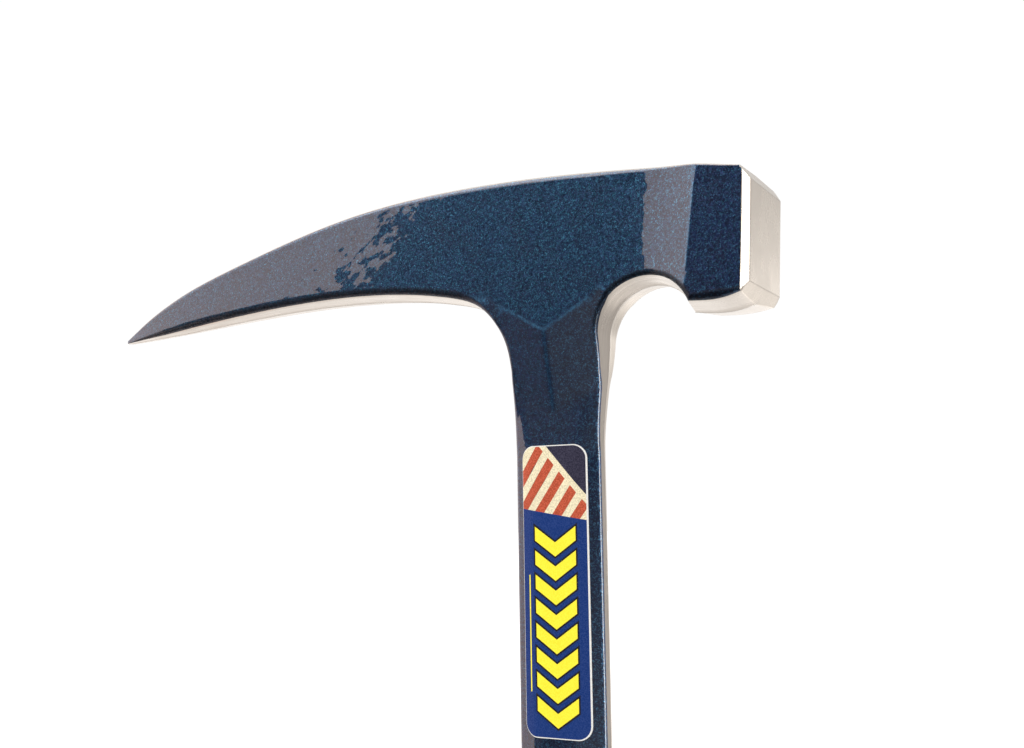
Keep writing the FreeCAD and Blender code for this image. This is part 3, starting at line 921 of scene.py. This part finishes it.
# ---- label ----
LABEL_THICK = LABEL_HIGH[1] - LABEL_LOW[1]
LABEL_ROUND = 3.0
LABEL_MARGIN, PRINT_SHIFT = 0.22, -0.12   # white stock round the print, which sits a little off centre
PANEL_LEFT, PANEL_RIGHT = 13.3, 16.4      # depth of the top panel at the label's two sides
STRIPE_COUNT, STRIPE_FIRST = 6, -8.4      # slanting stripes of the panel, from the label's left side
STRIPE_WIDTH, STRIPE_PITCH, STRIPE_RISE = 2.5, 4.7, 13.0
CORNER_LEFT, CORNER_DROP, CORNER_RIM = 5.2, 12.4, 0.9     # dark corner of the panel and the pale rim along it
CHEVRON_LEFT, CHEVRON_RIGHT = 3.2, 2.8    # margins either side of the chevrons
LINE_LOW, LINE_HIGH, LINE_LEFT, LINE_RIGHT = 9.5, 34.0, 1.5, 1.8     # thin line, from the lower left corner
FILM_PITCH, FILM_EASE = 0.9, 0.05         # spacing of points on the film, and the easing of its rim
RIM_DRAW = (FILM_EASE / 8, 0, FILM_EASE / 30)   # how far the front's rim is drawn in towards its middle
CHEVRON_COUNT, CHEVRON_PITCH, CHEVRON_TOP = 8, 5.1, 17.4
CHEVRON_THICK, CHEVRON_DROP, CHEVRON_LINE = 3.0, 3.4, 0.38
INKS = {                       # colour and wear of each ink
    "paper": ((0.80, 0.78, 0.74), 0.05), "blue": ((0.008, 0.035, 0.172), 0.04),
    "cream": ((0.83, 0.73, 0.50), 0.10), "rust": ((0.52, 0.090, 0.042), 0.13),
    "slate": ((0.036, 0.033, 0.060), 0.14), "ink": ((0.012, 0.012, 0.016), 0.05),
    "yellow": ((0.95, 0.80, 0.04), 0.02)}


def clipped(shape, window):
    """The part of a shape inside a convex window; both are lists of corners, the window's anticlockwise."""
    for k, (ax, az) in enumerate(window):
        bx, bz = window[(k + 1) % len(window)]
        room = [(bx - ax) * (z - az) - (bz - az) * (x - ax) for x, z in shape]
        kept = []
        for i, (p, r) in enumerate(zip(shape, room)):
            q, t = shape[i - 1], room[i - 1]
            if (r > 0) != (t > 0):
                share = t / (t - r)
                kept.append((q[0] + (p[0] - q[0]) * share, q[1] + (p[1] - q[1]) * share))
            if r > 0:
                kept.append(p)
        shape = kept
    return shape


def chevron(left, right, top, by):
    """Corners of a chevron that points down, made larger all round by an amount."""
    middle, pitch = (left + right) / 2, 2 * CHEVRON_DROP / (right - left)
    up = by * math.hypot(1, pitch)
    shoulder, low = top + by * pitch + up, top - CHEVRON_THICK + by * pitch - up
    return [(left - by, low), (middle, top - CHEVRON_DROP - CHEVRON_THICK - up), (right + by, low),
            (right + by, shoulder), (middle, top - CHEVRON_DROP + up), (left - by, shoulder)]


def label_border(inset):
    """The label's outline, or one that lies further in."""
    (left, _, bottom), (right, _, top) = LABEL_LOW + LABEL_ROUND, LABEL_HIGH - LABEL_ROUND
    turns = [round_arc(centre, LABEL_ROUND - inset, 90 * k, 90 * k + 90, 9)
             for k, centre in enumerate(((right, top), (left, top), (left, bottom), (right, bottom)))]
    return [tuple(p) for p in np.vstack(turns)]


def label_print():
    """Printed shapes of the label as (ink, outline), from the bottom layer up. The design is a plain one."""
    left, right, top, bottom = LABEL_LOW[0], LABEL_HIGH[0], LABEL_HIGH[2], LABEL_LOW[2]
    printed = [(x + PRINT_SHIFT, z) for x, z in label_border(LABEL_MARGIN)]
    shapes = [("paper", label_border(0.0)), ("blue", printed)]
    above = [(right + 1, top + 1), (left - 1, top + 1)]
    panel = clipped(printed, [(left - 1, top - PANEL_LEFT), (right + 1, top - PANEL_RIGHT)] + above)
    shapes.append(("cream", panel))
    for k in range(STRIPE_COUNT):
        low, x = top - PANEL_RIGHT - 1.0, left + STRIPE_FIRST + k * STRIPE_PITCH
        stripe = [(x, low), (x + STRIPE_WIDTH, low), (x + STRIPE_WIDTH + STRIPE_RISE, top + 1),
                  (x + STRIPE_RISE, top + 1)]
        shapes.append(("rust", clipped(stripe, panel)))
    for name, rim in (("cream", CORNER_RIM), ("slate", 0.0)):
        slant = [(left + CORNER_LEFT - rim, top + 1 - rim), (right + 1 - rim, top - CORNER_DROP - rim)]
        shapes.append((name, clipped(slant + [(right + 1, top + 1)], panel)))
    for k in range(CHEVRON_COUNT):
        high = top - CHEVRON_TOP - k * CHEVRON_PITCH
        for name, by in (("ink", CHEVRON_LINE), ("yellow", 0.0)):
            shapes.append((name, chevron(left + CHEVRON_LEFT, right - CHEVRON_RIGHT, high, by)))
    line = [(LINE_LEFT, LINE_LOW), (LINE_RIGHT, LINE_LOW), (LINE_RIGHT, LINE_HIGH), (LINE_LEFT, LINE_HIGH)]
    shapes.append(("yellow", [(left + x, bottom + z) for x, z in line]))
    return [(name, outline) for name, outline in shapes if len(outline) > 2]


def make_label():
    """Printed film that follows the shank, divided along its printed shapes, with white stock at its edge."""
    shapes = label_print()
    order = list(INKS)
    spots, loops = [], []
    for _, outline in shapes:
        loops.append(list(range(len(spots), len(spots) + len(outline))))
        spots += [Vector(p) for p in outline]
    between = honeycomb(LABEL_LOW[[0, 2]], LABEL_HIGH[[0, 2]], FILM_PITCH)
    between = between[inside(between, np.array(label_border(0.5)))]
    made = delaunay_2d_cdt(spots + [Vector(p) for p in between], [], loops, 1, 1e-5)
    flat = np.array([tuple(v) for v in made[0]])
    ring = {min(source): k for k, source in enumerate(made[3]) if source and min(source) < len(loops[0])}
    ring = [ring[o] for o in sorted(ring)]
    surface = half_thickness(flat[:, 0], flat[:, 1] - DATUM)
    front = np.column_stack([flat[:, 0], -surface - LABEL_THICK, flat[:, 1]])
    back, low_rim = front + (0, LABEL_THICK, 0), front[ring] + (0, FILM_EASE, 0)
    front[ring] += ((LABEL_LOW + LABEL_HIGH) / 2 - front[ring]) * RIM_DRAW
    points = np.vstack([front, back, low_rim])
    n, base = len(ring), len(front)
    faces = [list(t) for t in made[2]] + [[base + v for v in t[::-1]] for t in made[2]]
    inks = [order.index(shapes[max(source)][0]) for source in made[5]] + [0] * len(made[2])
    for k in range(n):
        after = (k + 1) % n
        faces.append([ring[k], 2 * base + k, 2 * base + after, ring[after]])
        faces.append([2 * base + k, base + ring[k], base + ring[after], 2 * base + after])
        inks += [0, 0]
    films = [material_of("film_" + ink, printed_film, *INKS[ink]) for ink in order]
    piece = add_piece("shank_label", points, faces, films, {})
    mesh = piece.data
    mesh.polygons.foreach_set("material_index", inks)
    normals = []
    smooth = side_normals(flat[:, 0], flat[:, 1] - DATUM, -1.0)
    for p in mesh.polygons:
        facing = len(p.vertices) == 3 and max(p.vertices) < base
        normals += [tuple(smooth[v]) if facing else tuple(p.normal) for v in p.vertices]
    mesh.normals_split_custom_set(normals)
    stand_for(piece, "label")


# ---- stage ----
def floor_finish(tree):
    """Pale matt floor with painted light: its glow rises away from the object, so that it runs into the white
    surround.
    """
    where = place_of(tree)
    away = node(tree, "ShaderNodeVectorMath", {0: where}, operation="LENGTH").outputs["Value"]
    glow = ramp(tree, away, 0.35, 1.2, 0.02, 0.55)
    fine = noise(tree, where, 60.0, 3.0).outputs["Fac"]
    tone = mix_colour(tree, fine, (0.80, 0.80, 0.80), (0.84, 0.84, 0.84))
    return principled(tree, {"Base Color": tone, "Roughness": 0.9, "Specular IOR Level": 0.1,
                             "Emission Color": (1, 1, 1, 1), "Emission Strength": glow})


FLOOR_CORNERS, FLOOR_REACH = 96, 60.0


def make_floor():
    ring = round_arc((0, 0), FLOOR_REACH, 0, 360 - 360 / FLOOR_CORNERS, FLOOR_CORNERS)
    points, faces = [(x, y, 0.0) for x, y in ring], [list(range(FLOOR_CORNERS))]
    add_mesh("floor", points, faces, [material_of("pale_floor", floor_finish)], {})


# The studio that only gloss sees. Bearings run from the front towards the pick, elevations from the horizon.
STUDIO_CENTRE = Vector((0, 0, 0.31))
STUDIO_REACH = 20.0
PANEL_EDGE = ((-80, 84), (-30, 84), (-26, 56), (1, 55), (58, -18))   # where dark front and left panel meet
FRONT_DARK = 0.014
FRONT_PATCHES = (              # strength, then shares by bearing and by elevation
    (0.34, ((12, 1), (24, 0)), ((-36, 0), (-30, 1), (-12, 1), (-2, 0.5), (8, 0))),
    (0.17, ((12, 0), (24, 1), (36, 1), (42, 0)), ((-16, 0), (-8, 1), (4, 1), (9, 0))),
    (0.12, ((32, 0), (38, 1), (50, 1), (56, 0)), ((-36, 0), (-30, 1), (-12, 1), (-6, 0))))
LEFT_GLOW, WALL_GLOW = 1.60, 0.58
BACK_GLOW = ((-18, 1.7), (-14, 1.2), (-8, 0.88), (3, 0.88), (6, 1.5), (6.5, 1.8), (9, 1.4), (12, 0.82),
             (20, 0.65))
RIGHT_STEP = 4                 # elevation at which the right light changes
RIGHT_HIGH, RIGHT_LOW = (-84.0, -66.0, 4.5), (-74.0, -61.0, 12.0)    # its two bearings and brightness


def looked_up(table, where):
    """Value at a place of a table of places and values, with straight lines between them."""
    return float(np.interp(where, *zip(*table)))


def panel_edge(elevation):
    """Bearing where the dark front ends and the bright left panel begins."""
    return looked_up(PANEL_EDGE, elevation)


def front_glow(bearing, elevation):
    """The front is black cloth, with pale stretches of floor and table low down."""
    return FRONT_DARK + sum(strength * looked_up(by_bearing, bearing) * looked_up(by_elevation, elevation)
                            for strength, by_bearing, by_elevation in FRONT_PATCHES)


def back_glow(_, elevation):
    return looked_up(BACK_GLOW, elevation)


def right_light(part):
    """One of the right light's values as a function of the elevation, which is the last argument."""
    return lambda *where: (RIGHT_HIGH if where[-1] > RIGHT_STEP else RIGHT_LOW)[part]


def found(value, *where):
    """A plain value, or the value of a function there."""
    return value(*where) if callable(value) else value


def lit_cloth(tree, tint):
    """Faintly uneven light, as bright as the mesh says."""
    cloth = ramp(tree, noise(tree, place_of(tree), 3.0, 2.0).outputs["Fac"], 0.3, 0.7, 0.97, 1.03)
    strength = maths(tree, "MULTIPLY", attribute(tree, "glow"), cloth)
    return node(tree, "ShaderNodeEmission", {"Color": tint + (1,), "Strength": strength}).outputs[0]


def make_reflector(name, first, last, low, high, tint, glow):
    """Part of the studio between two bearings, which may depend on the elevation, and two elevations. Glow is
    its brightness, which may depend on both. Below the horizon it lies on the floor."""
    rows, steps = np.linspace(low, high, int((high - low) / 2) + 2), 16
    points, values = [], []
    for e in rows:
        for a in np.linspace(found(first, e), found(last, e), steps):
            turn, tilt = math.radians(a), math.radians(e)
            ray = Vector((-math.sin(turn) * math.cos(tilt), -math.cos(turn) * math.cos(tilt), math.sin(tilt)))
            reach = STUDIO_REACH if ray.z >= 0 else min(STUDIO_REACH, 0.995 * STUDIO_CENTRE.z / -ray.z)
            points.append(STUDIO_CENTRE + ray * reach)
            values.append(found(glow, a, e))
    faces = [[r * steps + k, r * steps + k + 1, (r + 1) * steps + k + 1, (r + 1) * steps + k]
             for r in range(len(rows) - 1) for k in range(steps - 1)]
    reflector = add_mesh(name, points, faces, [material_of(name, lit_cloth, tint)], {"glow": values})
    reflector.visible_camera = reflector.visible_diffuse = reflector.visible_shadow = False


def make_studio():
    """Dark front, bright panel on the left, narrow strong light on the right, grey wall at the back right."""
    make_reflector("dark_front", -60.0, panel_edge, -80, 58, (0.97, 0.97, 1.0), front_glow)
    make_reflector("left_panel", panel_edge, 112.0, -80, 58, (1.0, 0.785, 0.70), LEFT_GLOW)
    make_reflector("right_light", right_light(0), right_light(1), -35, 45, (1.0, 1.0, 0.95), right_light(2))
    make_reflector("grey_wall", -154.0, -102.0, -50, 30, (0.99, 0.99, 1.0), WALL_GLOW)
    make_reflector("back_fall_off", -184.0, -154.0, -30, 40, (1.0, 0.99, 0.965), back_glow)


def make_light():
    world = bpy.data.worlds.new("studio")
    bpy.context.scene.world = world
    world.use_nodes = True
    tree = world.node_tree
    tree.nodes.clear()
    background = node(tree, "ShaderNodeBackground", {"Color": (1.0, 1.0, 1.0, 1), "Strength": 1.02})
    node(tree, "ShaderNodeOutputWorld", {"Surface": background.outputs[0]})
    softbox = bpy.data.lights.new("softbox", "AREA")
    softbox.size = 0.9
    softbox.energy = 5.0
    lamp = in_scene("softbox", softbox)
    lamp.location = (-0.5, -0.5, 1.3)
    lamp.rotation_euler = (Vector((0, 0, 0.15)) - lamp.location).to_track_quat("-Z", "Y").to_euler()


CAMERA_PLACE = Vector((0.11764, -0.23683, 0.25312))
CAMERA_YAW, CAMERA_PITCH, CAMERA_ROLL = 0.5001, 0.1261, -0.0143
CAMERA_LENS = 42.64


def make_camera():
    data = bpy.data.cameras.new("camera")
    data.lens = CAMERA_LENS
    data.sensor_width = 36.0
    data.clip_start, data.clip_end = 0.01, 200.0
    camera = in_scene("camera", data)
    forward = Vector((-math.sin(CAMERA_YAW) * math.cos(CAMERA_PITCH),
                      math.cos(CAMERA_YAW) * math.cos(CAMERA_PITCH), math.sin(CAMERA_PITCH)))
    level = Vector((math.cos(CAMERA_YAW), math.sin(CAMERA_YAW), 0))
    up = level.cross(forward)
    right = level * math.cos(CAMERA_ROLL) + up * math.sin(CAMERA_ROLL)
    up = up * math.cos(CAMERA_ROLL) - level * math.sin(CAMERA_ROLL)
    turned = Matrix((right, up, -forward)).transposed().to_4x4()
    camera.matrix_world = Matrix.Translation(CAMERA_PLACE) @ turned
    bpy.context.scene.camera = camera


def dress_core():
    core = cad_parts["grip_core"]
    core.data.materials.clear()
    core.data.materials.append(material_of("moulded_nylon", nylon))


def main():
    make_forging()
    make_sleeve()
    make_label()
    dress_core()
    make_floor()
    make_studio()
    make_light()
    make_camera()
    bpy.context.scene.view_settings.view_transform = "Standard"


main()
